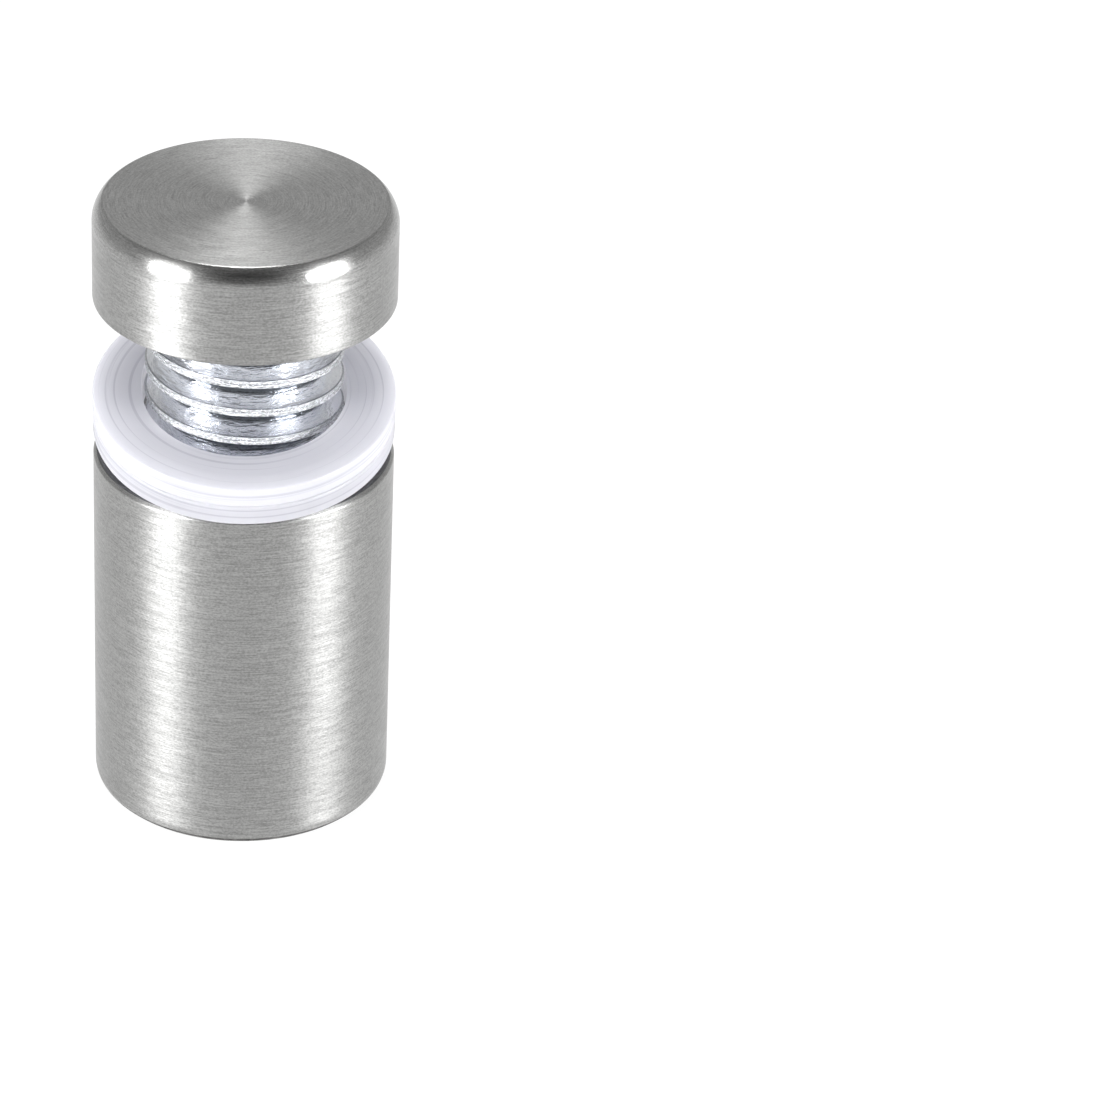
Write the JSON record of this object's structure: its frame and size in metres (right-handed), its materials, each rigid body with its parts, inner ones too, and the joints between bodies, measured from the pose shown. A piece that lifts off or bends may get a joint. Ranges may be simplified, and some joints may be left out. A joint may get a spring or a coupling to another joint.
{
  "type": "glass panel standoff",
  "caption": "Round brushed-steel standoff: a drilled barrel fixed to a wall, a screw-in cap on a threaded stud, and clear washers that keep a glass panel off the metal.",
  "frame": {"origin": "middle of the wall face, on the axis of the screw hole", "axes": "+Z along the axis from the wall to the cap, -Y towards the side where the leaning washers are low"},
  "size_m": [0.012, 0.0125, 0.0261],
  "materials": {
    "brushed_stainless": "stainless steel, brushed round the axis, spun on the top of the cap",
    "bright_zinc_steel": "rolled thread with bright zinc plating",
    "clear_pvc": "soft clear plastic with a milky lilac tint"
  },
  "bodies": {
    "barrel": {"barrel": "brushed_stainless", "washer_lower": "clear_pvc", "washer_upper": "clear_pvc"},
    "cap": {"cap_shell": "brushed_stainless", "threaded_stud": "bright_zinc_steel"}
  },
  "joints": [
    {"name": "cap_travel", "type": "slide", "parent": "barrel", "child": "cap", "axis": [0, 0, 1], "range_m": [-0.00503, 0.001], "deforming": ["washer_lower", "washer_upper"]}
  ]
}
